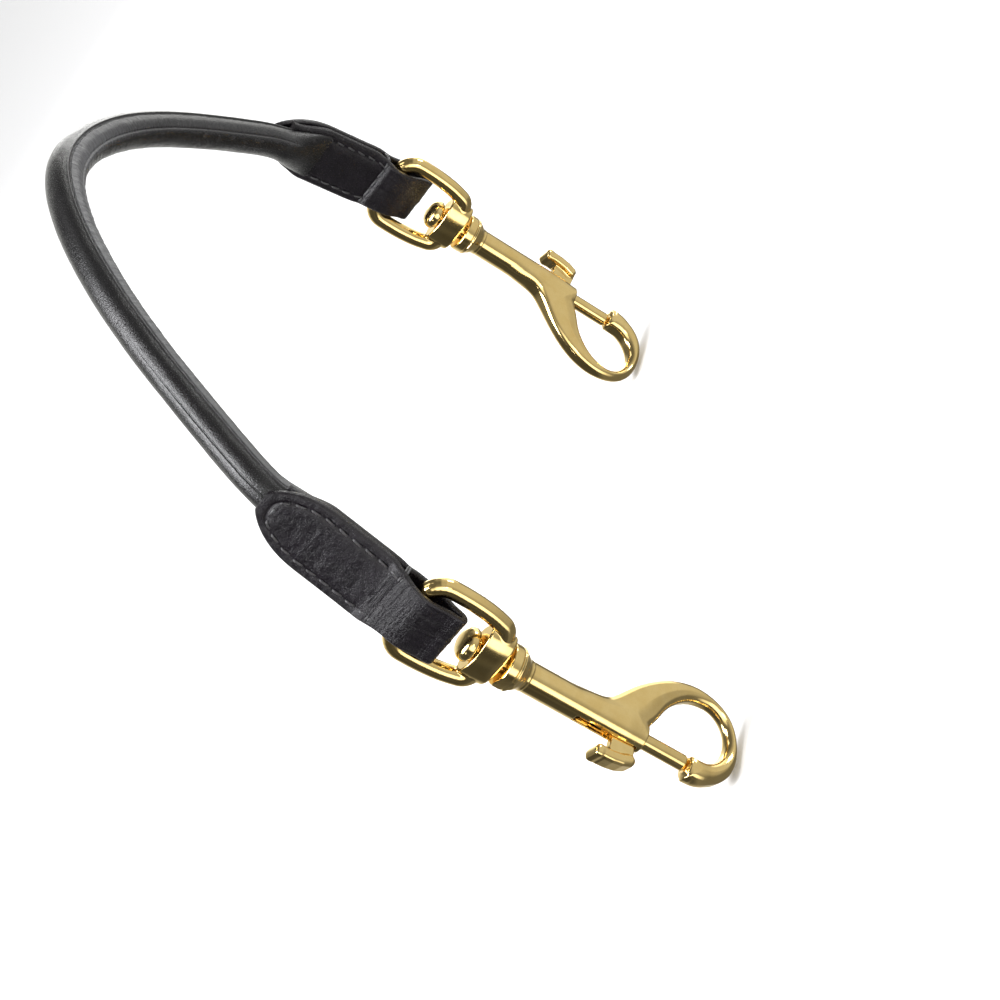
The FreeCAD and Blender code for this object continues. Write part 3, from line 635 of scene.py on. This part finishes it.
def tab_stitches(side, sign):
    """Border row on tongue and inner ply, seam across the inner face, wraps over both edges."""
    pitch, length, thread_r, sunk = 3.85, 2.75, 0.30, 0.30
    line = stitch_line(inset=2.55)
    travel = np.r_[0, np.cumsum(np.linalg.norm(np.diff(line, axis=0), axis=1))]
    count = int((travel[-1] - length) / pitch) + 1
    start = (travel[-1] - (count - 1) * pitch - length) / 2
    k = np.linspace(-1, 1, 11)
    arch = 1 - np.abs(k) ** 3
    dive = 1.375 * np.maximum(np.abs(k) - 0.8, 0)
    slant = 0.16 * k
    tubes = []
    for i in range(count):
        q = start + i * pitch + rng.normal(0, 0.06) + np.linspace(0, length, 11)
        u = np.interp(q, travel, line[:, 0])
        y = np.interp(q, travel, line[:, 1])
        pinch = 0.52 * (np.abs(y) / TAB_HALF) ** 3
        height = PLY / 2 - sunk - pinch + 0.26 * arch - dive
        v = table_at(u, OUTER_PLY) + height
        tubes.append(thread_tube(tab(sign, u, v, y + slant), thread_r))
        if u.max() < 30.5:
            v = 0.08 - (height + table_at(u, INNER_PLY))
            tubes.append(thread_tube(tab(sign, u, v, y + slant), thread_r))
    for middle in (-3.7, 0.0, 3.7):
        v = -(1.8 + PLY / 2 - sunk + 0.24 * arch)
        tubes.append(thread_tube(tab(sign, 6.6 + 0.1 * k, v, middle + 1.45 * k), thread_r))
    angle = np.linspace(-math.pi / 2 - 0.25, math.pi / 2 + 0.25, 21)
    sine = np.sin(angle)
    for edge in (-1, 1):
        for offset in (0.0, 0.62):
            y = edge * (float(tongue_half(6.5)) - 2.0 + 2.05 * np.cos(angle))
            v = np.where(sine > 0, 3.2, 2.75) * sine
            wrap = tab(sign, 6.3 + offset + 0.12 * sine, v, y)
            tubes.append(thread_tube(wrap, radius=0.33, turns=3.0))
    return join_tubes(f"stitches_tab_{side}", tubes)


def seam_stitches():
    """The row that closes the roll, just beyond the overlapping edge."""
    pitch, length = 3.6, 2.6
    k = np.linspace(-1, 1, 9)
    theta = LAP_ANGLE + 0.085 + 0.02 * k
    tubes = []
    s = END_MARGIN
    while s + length < arch_length - END_MARGIN:
        q = s + np.linspace(0, length, 9)
        depth, width, shift, seam = roll_section(q)
        radius = roll_radius(theta, depth, width, seam) - 0.10 + 0.14 * (1 - np.abs(k) ** 3)
        path = roll_points(*roll_frame(q), shift, theta, radius)
        tubes.append(thread_tube(path, radius=0.19, turns=1.3, sides=8))
        s += pitch
    return join_tubes("stitches_seam", tubes)


# ------------------------------------------------------------------ distance fields
def sdf_mesh(field, low, high, cell):
    """Points and quads of a field's zero surface, sampled over the box low to high."""
    limit = 3.0
    low, high = np.asarray(low, float), np.asarray(high, float)
    n = np.ceil((high - low) / cell).astype(int) + 1
    x = low[0] + cell * np.arange(n[0])[:, None, None]
    y = low[1] + cell * np.arange(n[1])[None, :, None]
    z = low[2] + cell * np.arange(n[2])[None, None, :]
    samples = np.clip(np.broadcast_to(field(x, y, z), n), -limit, limit).astype(np.float32)
    grid = vdb.FloatGrid(limit)
    grid.copyFromArray(np.ascontiguousarray(samples))
    points, quads = grid.convertToQuads(0.0)
    points = np.asarray(points, float) * cell + low
    quads = np.asarray(quads, int)
    a, b, c, d = (points[quads[:, i]] for i in range(4))
    volume = np.einsum("ij,ij->i", a, np.cross(b, c)) + np.einsum("ij,ij->i", a, np.cross(c, d))
    if volume.sum() < 0:
        quads = quads[:, ::-1]
    return points, quads.tolist()


def rounded(radius, *sides):
    """Common part of several sides, each already inset by radius, with rounded edges."""
    inside = np.minimum(reduce(np.maximum, sides), 0)
    return inside + np.sqrt(sum(np.maximum(side, 0) ** 2 for side in sides)) - radius


def cylinder(x, y, z, r, z0, z1, rounding):
    wall = np.sqrt(x * x + y * y) - (r - rounding)
    ends = np.abs(z - (z0 + z1) / 2) - (abs(z1 - z0) / 2 - rounding)
    return rounded(rounding, wall, ends)


def box(x, y, z, centre, half, rounding):
    sides = [np.abs(a - m) - (h - rounding) for a, m, h in zip((x, y, z), centre, half)]
    return rounded(rounding, *sides)


def outline_field(points, x, z):
    """Signed distance to a closed outline (x, z), the same for every y."""
    x, z = np.broadcast_arrays(x[:, 0, :], z[:, 0, :])
    p = np.asarray(points, float)
    best = np.full(x.shape, 1e9)
    inside = np.zeros(x.shape, bool)
    for (ax, az), (bx, bz) in zip(p, np.roll(p, -1, axis=0)):
        ex, ez = bx - ax, bz - az
        t = np.clip(((x - ax) * ex + (z - az) * ez) / (ex * ex + ez * ez), 0, 1)
        best = np.minimum(best, (x - ax - t * ex) ** 2 + (z - az - t * ez) ** 2)
        if abs(ez) > 1e-12:
            inside ^= ((az > z) != (bz > z)) & (x < ax + (z - az) * ex / ez)
    return (np.where(inside, -1, 1) * np.sqrt(best))[:, None, :]


def line_distance(points, x, y, z):
    p = np.asarray(points, float)
    best = np.inf
    for a, b in zip(p[:-1], p[1:]):
        e = b - a
        along = (x - a[0]) * e[0] + (y - a[1]) * e[1] + (z - a[2]) * e[2]
        t = np.clip(along / float(e @ e), 0, 1)
        gap = (x - a[0] - t * e[0]) ** 2 + (y - a[1] - t * e[1]) ** 2 + (z - a[2] - t * e[2]) ** 2
        best = np.minimum(best, gap)
    return np.sqrt(best)


# ------------------------------------------------------------------ hook
OPENING_X, OPENING_Z, OPENING_R = 9.6, -55.7, 7.7
BARREL_END = -39.5
TIP_Z = -53.6
COLLAR_R = 5.9
# Outer edge (x, z) from the barrel round the far side and the bottom to the hook's tip.
HOOK_OUTER = [
    (3.3, -16.5), (3.8, -20.0), (4.1, -24.0), (5.4, -27.5), (7.9, -30.3), (10.8, -33.0),
    (13.9, -36.3), (16.8, -40.2), (19.0, -44.2), (20.4, -48.4), (21.0, -52.6), (20.7, -56.8),
    (19.3, -60.7), (16.8, -63.9), (13.4, -66.0), (9.6, -67.0), (5.6, -66.8), (2.0, -65.5),
    (-1.0, -63.0), (-3.0, -59.6), (-3.9, -56.2), (-4.0, TIP_Z)]
# Top edge of the opening (x, z), from its far side to the barrel's end.
HOOK_CROWN = [(OPENING_X + OPENING_R, OPENING_Z), (16.9, -52.5), (15.6, -49.5), (13.1, -46.4),
              (9.7, -43.8), (5.9, -41.8), (2.6, BARREL_END)]


def hook_outline():
    outer, outer_length = natural_spline(HOOK_OUTER)
    crown, crown_length = natural_spline(HOOK_CROWN)
    a = np.linspace(math.pi, 2 * math.pi, 60)
    arc = np.stack([OPENING_X + OPENING_R * np.cos(a), OPENING_Z + OPENING_R * np.sin(a)], 1)
    return np.vstack([
        outer(np.linspace(0, outer_length, 180)), [(OPENING_X - OPENING_R, TIP_Z)], arc,
        crown(np.linspace(0, crown_length, 70))[1:], [(-0.5, BARREL_END)], [(-0.5, -16.5)]])


def hook_field(x, y, z):
    flat = outline_field(hook_outline(), x, z)
    q = np.sqrt(x * x + y * y)
    # half thickness of the plate: full at the shoulder, thinner round the crown and at its edge
    half = 3.5 - 0.75 * smooth((x - 2.0) / 11.0) - 0.2 * smooth((-z - 44) / 14)
    half = mix(2.0, half, smooth((-16.0 - z) / 9.0))
    half = half - 0.55 * (1 - smooth(-flat / 5.0)) + 0.25
    rounding = 1.7 + 0.5 * smooth((-z - 50.0) / 9.0)
    plate = rounded(rounding, flat + rounding, np.abs(y) - (half - rounding))
    # the hook's end is a round bead cut square against the bolt
    tip = cylinder(x + 1.05, y, z, 2.95, -53.4, -55.2, 0.5)
    bead = np.sqrt((x + 0.9) ** 2 + y * y + 0.6 * (z + 56.5) ** 2) - 2.8
    d = soft_min(plate, tip, 0.6)
    d = soft_min(d, bead, 1.2)
    # barrel, neck and grooved collar
    barrel_r = 4.0 - 0.3 * smooth((-z - 33.0) / 6.5)
    barrel = np.maximum((q - barrel_r) * 0.99, np.maximum(z + 1.5, BARREL_END - z))
    barrel = soft_max(barrel, BARREL_END - z, 0.5)
    d = soft_min(d, barrel, 1.6)
    neck_r = 4.0 + 1.3 * smooth((z + 4.4) / 2.6)
    neck = np.maximum(q - neck_r, np.maximum(z - 0.5, -z - 4.6))
    d = soft_min(d, neck, 0.5)
    collar = cylinder(x, y, z, COLLAR_R, -1.75, 2.1, 0.55)
    groove = np.sqrt((q - COLLAR_R) ** 2 + (z + 0.85) ** 2) - 0.28
    d = soft_min(d, soft_max(collar, -groove, 0.25), 0.35)
    # the round opening stays clear
    opening = OPENING_R - np.sqrt((x - OPENING_X) ** 2 + (z - OPENING_Z) ** 2)
    d = soft_max(d, opening, 0.15)
    # bolt hole, wider bore above it, and the slot on the -x side
    d = np.maximum(d, -np.where(z > -53.2, q - 2.18, 9.0))
    d = np.maximum(d, -np.maximum(q - 2.6, -29.0 - z))
    slot = box(x, y, z, centre=(-5.0, 0, -29.25), half=(3.6, 1.25, 8.95), rounding=0.3)
    return soft_max(d, -slot, 0.3)


# ------------------------------------------------------------------ swivel eye
HUB_BOTTOM, HUB_HALF_HEIGHT = 2.8, 3.6


def eye_path():
    """Closed middle line of the eye's ring, in the plane x = 0."""
    bottom_y, bottom_z, bottom_r = 6.0, 6.0, 3.2
    top_y, top_r = 5.8, 4.8
    low_z, high_z = bottom_z + bottom_r, BAR_HEIGHT - top_r
    half = [(bottom_y, bottom_z)]
    half += [(bottom_y + bottom_r * math.cos(a), low_z + bottom_r * math.sin(a))
             for a in np.radians(np.linspace(-90, -12, 9)[1:])]
    arm, length = natural_spline(
        [half[-1], (9.85, 11.6), (10.35, 15.3), (10.6, 19.3), (top_y + top_r, high_z)])
    half += [tuple(point) for point in arm(np.linspace(0, length, 14))[1:-1]]
    half += [(top_y + top_r * math.cos(a), high_z + top_r * math.sin(a))
             for a in np.radians([0, 12, 24, 36, 48, 60, 72, 84, 90])]
    loop = half + [(-y, z) for y, z in half[::-1]] + [half[0]]
    return np.array([(0.0, y, z) for y, z in loop])


def eye_field(x, y, z):
    ring = line_distance(eye_path(), x, y, z) - 2.35
    # oval hub, a little fuller in the middle
    middle = HUB_BOTTOM + HUB_HALF_HEIGHT
    oval = np.sqrt((x / 4.0) ** 2 + (y / 8.0) ** 2 + 1e-9)
    wall = (oval - 1.0) * np.sqrt(x * x + y * y + 1e-9) / oval
    wall = wall + 0.25 * ((z - middle) / HUB_HALF_HEIGHT) ** 2
    rounding = 0.6
    hub = rounded(rounding, wall + rounding, np.abs(z - middle) - (HUB_HALF_HEIGHT - rounding))
    d = soft_min(ring, hub, 0.3)
    # hole for the stud, stopping below the bar
    return np.maximum(d, -(np.sqrt(x * x + y * y) - 2.34) - 50 * (z > 15))


# ------------------------------------------------------------------ thumb lug
# Web through the slot and middle line of the pad, both (x, z).
LUG_WEB = [(-2.2, -31.2), (-2.2, -37.5), (-6.6, -38.2), (-8.8, -37.6), (-8.8, -31.9), (-6.4, -31.0)]
LUG_PAD = [(-8.1, -36.6), (-8.9, -34.6), (-9.35, -32.0), (-9.5, -29.8), (-9.3, -28.3)]


def lug_field(x, y, z):
    web = soft_max(outline_field(LUG_WEB, x, z), np.abs(y) - 1.05, 0.25)
    pad = line_distance([(px, 0, pz) for px, pz in LUG_PAD], x, 0.0, z) - 1.55
    pad = rounded(1.2, pad + 1.2, np.abs(y) - (2.9 - 1.2))
    ridge = box(x, y, z, centre=(-10.1, 0, -27.9), half=(0.9, 2.6, 0.9), rounding=0.6)
    d = soft_min(web, pad, 0.9)
    d = soft_min(d, ridge, 0.8)
    peg = cylinder(y, z + 34.4, x, 1.0, -2.8, -1.2, 0.1)
    return np.minimum(d, peg)


# ------------------------------------------------------------------ turned parts and spring
HEAD_Z = 10.0
# Profiles (radius, z) from the bottom up.
STUD_PROFILE = [
    (0.02, -5.6), (2.5, -5.6), (2.58, -5.1), (2.58, 2.7), (2.25, 2.8), (2.25, HEAD_Z + 0.5),
    (3.7, HEAD_Z + 0.5), (4.35, HEAD_Z + 1.2), (4.4, HEAD_Z + 2.0), (4.05, HEAD_Z + 3.0),
    (3.1, HEAD_Z + 3.85), (1.9, HEAD_Z + 4.3), (0.8, HEAD_Z + 4.42), (0.02, HEAD_Z + 4.45)]
BOLT_PROFILE = [
    (0.02, -53.0), (1.5, -53.0), (2.08, -52.3), (2.08, -26.2), (2.5, -25.4), (2.5, -22.3),
    (2.2, -22.0), (0.02, -22.0)]
COIL_TOP, COIL_LENGTH, COIL_R, COIL_PITCH = -6.6, 15.2, 2.0, 2.4
WIRE_R = 0.26


def revolve(profile):
    a = np.linspace(0, 2 * math.pi, 96, endpoint=False)
    r, z = profile[:, :1], profile[:, 1:]
    return bare_skin(np.stack(np.broadcast_arrays(r * np.cos(a), r * np.sin(a), z), -1))


def bevelled(profile, radius):
    """Rounds the inner corners of an open profile."""
    p = [np.asarray(point, float) for point in profile]
    out = [p[0]]
    for a, b, c in zip(p[:-2], p[1:-1], p[2:]):
        before, after = np.linalg.norm(a - b), np.linalg.norm(c - b)
        k = min(radius, 0.45 * before, 0.45 * after)
        start, end = b + (a - b) / before * k, b + (c - b) / after * k
        for t in np.linspace(0, 1, 5):
            out.append((1 - t) ** 2 * start + 2 * t * (1 - t) * b + t * t * end)
    out.append(p[-1])
    return np.array(out)


def coil_mesh():
    turns = (COIL_LENGTH - 2 * WIRE_R) / COIL_PITCH
    a = np.linspace(0, 2 * math.pi * turns, 260)
    z = COIL_TOP - COIL_LENGTH + WIRE_R + COIL_PITCH * a / (2 * math.pi)
    path = np.stack([COIL_R * np.cos(a), COIL_R * np.sin(a), z], 1)
    return bare_skin(thread_tube(path, WIRE_R, turns=0.0, sides=12))


def place(points, sign, turned=True):
    """From a hook's own frame to the strap's; the right hook is half a turn from the left."""
    a = (SNAP_TURN + (math.pi if sign > 0 else 0.0)) if turned else 0.0
    c, s = math.cos(a), math.sin(a)
    x, y, z = np.asarray(points, float).T
    return np.stack([x * c - y * s + sign * SNAP_X, x * s + y * c, z + SNAP_Z], 1)


# ------------------------------------------------------------------ assembly
def ride(obj, carrier, slot, *replaced):
    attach(obj, carrier)
    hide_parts(*replaced)


hook = sdf_mesh(hook_field, (-5.2, -6.8, -68.2), (22.4, 6.8, 3.0), 0.16)
eye = sdf_mesh(eye_field, (-5.0, -14.4, 2.2), (5.0, 14.4, 32.0), 0.15)
lug = sdf_mesh(lug_field, (-13.0, -3.8, -40.0), (-0.6, 3.8, -26.0), 0.13)
stud = revolve(bevelled(STUD_PROFILE, 0.45))
bolt = revolve(bevelled(BOLT_PROFILE, 0.25))
coil = coil_mesh()

# name, mesh, material, carrier, piece replaced, turned with the hook, normals recalculated
BRASS_PARTS = [
    ("hook", hook, BRASS, "snap", "hook_body", True, False),
    ("stud", stud, BRASS, "snap", "swivel_stud", True, True),
    ("eye_casting", eye, BRASS, "eye", "swivel_eye", False, False),
    ("bolt_pin", bolt, BRASS_BOLT, "plunger", "bolt", True, True),
    ("lug", lug, BRASS, "plunger", "thumb_lug", True, False),
]
for side, sign in SIDES:
    for name, (verts, faces), material, carrier, piece, turned, recalc in BRASS_PARTS:
        placed = place(verts, sign, turned)
        part = build(f"{side}_{name}", placed, faces, material, recalc=recalc)
        ride(part, f"{side}_{carrier}", "brass", f"{side}_{piece}")
    part = build(f"{side}_coil", place(coil[0], sign), coil[1], STEEL, recalc=True)
    ride(part, f"{side}_snap", "spring", f"{side}_spring")
    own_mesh(part)

for make, piece, slot in ((make_roll, "core_cord", "leather"),
                          (seam_stitches, "seam_stitching", "thread")):
    part = make()
    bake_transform(part)
    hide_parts(f"{piece}_left", f"{piece}_right")
for side, sign in SIDES:
    handle = f"handle_{side}"
    ride(make_band(side, sign), handle, "leather", f"strap_{side}", f"tab_filler_{side}")
    ride(tab_stitches(side, sign), handle, "thread", f"tab_stitching_{side}")

# ------------------------------------------------------------------ floor, world, lights, camera
CAMERA_RIGHT = (-0.0568, -0.5923, -0.8037)
CAMERA_UP = (0.5535, -0.6886, 0.4684)
CAMERA_BACK = (-0.8309, -0.4182, 0.3670)
CAMERA_AT = (-0.6211, -0.2951, 0.2564 + SNAP_Z * MM)

# Reflected brightness round the horizon: (part of a turn, level), 0.5 being the camera's side.
SOFT_BOXES = [
    (0.0, 1.25), (0.10, 1.2), (0.15, 0.6), (0.20, 0.09), (0.31, 0.07), (0.345, 0.11),
    (0.38, 0.07), (0.425, 0.10), (0.445, 3.0), (0.505, 2.8), (0.53, 0.48), (0.56, 0.55),
    (0.62, 0.80), (0.76, 0.82), (0.84, 0.68), (0.88, 0.08), (0.93, 0.5), (0.99, 1.25)]
FAR_STRIP = [(0.80, 0.0), (0.84, 1.7), (0.96, 1.7), (0.99, 0.5)]
# The same by direction, (height, level), where height is 0 straight down and 1 straight up.
ABOVE_AND_BELOW = [(0.0, 0.22), (0.16, 0.22), (0.27, 0.0), (0.70, 0.0), (0.82, 0.16), (1.0, 0.18)]
BOX_HEIGHTS = [(0.10, 0.0), (0.28, 1.0), (0.66, 1.0), (0.84, 0.0)]
STRIP_HEIGHTS = [(0.34, 0.0), (0.40, 1.0), (0.58, 1.0), (0.66, 0.0)]


def make_floor():
    material, g = new_material("floor_pale")
    colour = g.ramp(g.noise(Scale=6.0, Detail=4.0), [(0.3, 0.80), (0.7, 0.84)])
    g.surface(Base_Color=colour, Roughness=0.7)
    bpy.ops.mesh.primitive_circle_add(
        vertices=96, radius=7.0, fill_type="NGON", location=(0, 0, -0.0006))
    floor = bpy.context.object
    floor.name = "floor"
    floor.data.materials.append(material)
    floor.visible_glossy = False


def make_world():
    """Even white light, with a ring of soft boxes and dark gaps for reflections only."""
    world = bpy.data.worlds.new("studio")
    bpy.context.scene.world = world
    world.use_nodes = True
    g = Graph(world.node_tree)
    direction = g.node("ShaderNodeTexCoord").outputs["Generated"]
    height = g.node("ShaderNodeSeparateXYZ", Vector=direction).outputs["Z"]
    is_glossy = g.node("ShaderNodeLightPath").outputs["Is Glossy Ray"]
    camera_angle = math.atan2(CAMERA_BACK[1], CAMERA_BACK[0])
    turned = g.node("ShaderNodeMapping", vector_type="VECTOR", Vector=direction,
                    Rotation=(0, 0, math.pi - camera_angle))
    flat = g.node("ShaderNodeSeparateXYZ", Vector=turned.outputs[0])
    angle = g.math("ARCTAN2", flat.outputs["Y"], flat.outputs["X"])
    turn = g.math("FRACT", g.add(g.math("DIVIDE", angle, 2 * math.pi), 1.0))

    def grey_ramp(source, stops):
        return g.ramp(source, [(p, (level, level, level * 0.98)) for p, level in stops])

    def height_ramp(stops):
        return grey_ramp(g.affine(height, gain=0.5, offset=0.5), stops)

    boxes = grey_ramp(turn, SOFT_BOXES)
    ends = height_ramp(ABOVE_AND_BELOW)
    boxes = g.blend(1.0, boxes, height_ramp(BOX_HEIGHTS), "MULTIPLY")
    total = g.blend(1.0, boxes, ends, "ADD")
    # a low bright strip away from the camera's side
    strip = g.blend(1.0, grey_ramp(turn, FAR_STRIP), height_ramp(STRIP_HEIGHTS), "MULTIPLY")
    total = g.blend(1.0, total, strip, "ADD")
    colour = g.blend(is_glossy, (1.0, 1.0, 1.0, 1), total)
    g.put(world.node_tree.nodes["Background"], Color=colour, Strength=0.9)


def link_new(name, data):
    obj = bpy.data.objects.new(name, data)
    bpy.context.scene.collection.objects.link(obj)
    return obj


def area(name, at, target, size, power, size_y=None, along=(0, 0, 1)):
    """Area light facing target; along sets how its height is turned."""
    light = bpy.data.lights.new(name, "AREA")
    light.energy, light.size = power, size
    if size_y:
        light.shape, light.size_y = "RECTANGLE", size_y
    obj = link_new(name, light)
    back = (Vector(at) - Vector(target)).normalized()
    right = Vector(along).cross(back).normalized()
    turn = Matrix((right, back.cross(right), back)).transposed().to_4x4()
    obj.matrix_world = Matrix.Translation(Vector(at)) @ turn
    obj.visible_camera = False
    return light


def make_camera():
    data = bpy.data.cameras.new("camera")
    data.lens = 98.3
    data.sensor_width = 36.0
    data.clip_start = 0.01
    camera = link_new("camera", data)
    rows = zip(CAMERA_RIGHT, CAMERA_UP, CAMERA_BACK, CAMERA_AT)
    camera.matrix_world = Matrix((*rows, (0, 0, 0, 1)))
    bpy.context.scene.camera = camera


make_floor()
make_world()
bpy.context.scene.view_settings.view_transform = "Standard"
key = area("key", at=(-0.44, 0.37, 1.10), target=(-0.07, 0, 0.16), size=0.46, power=27,
           size_y=1.10, along=(0, 1, 0))
key.color = (0.97, 0.975, 1.0)
area("glint", at=(-1.07, 0.66, 0.50), target=(-0.11, 0, 0.11), size=0.14, power=0.38)
area("rim", at=(0.70, -1.15, 0.22), target=(0, 0, 0.13), size=0.34, power=4.5)
area("front", at=(-1.3, -0.9, 0.25), target=(-0.08, 0, 0.1), size=0.35, power=1.6)
area("top", at=(0.25, -0.35, 1.5), target=(0, 0, 0.1), size=0.5, power=1.5)
area("back", at=(1.15, 0.0, 0.26), target=(0, 0, 0.18), size=0.8, power=1.5, size_y=0.24)
make_camera()
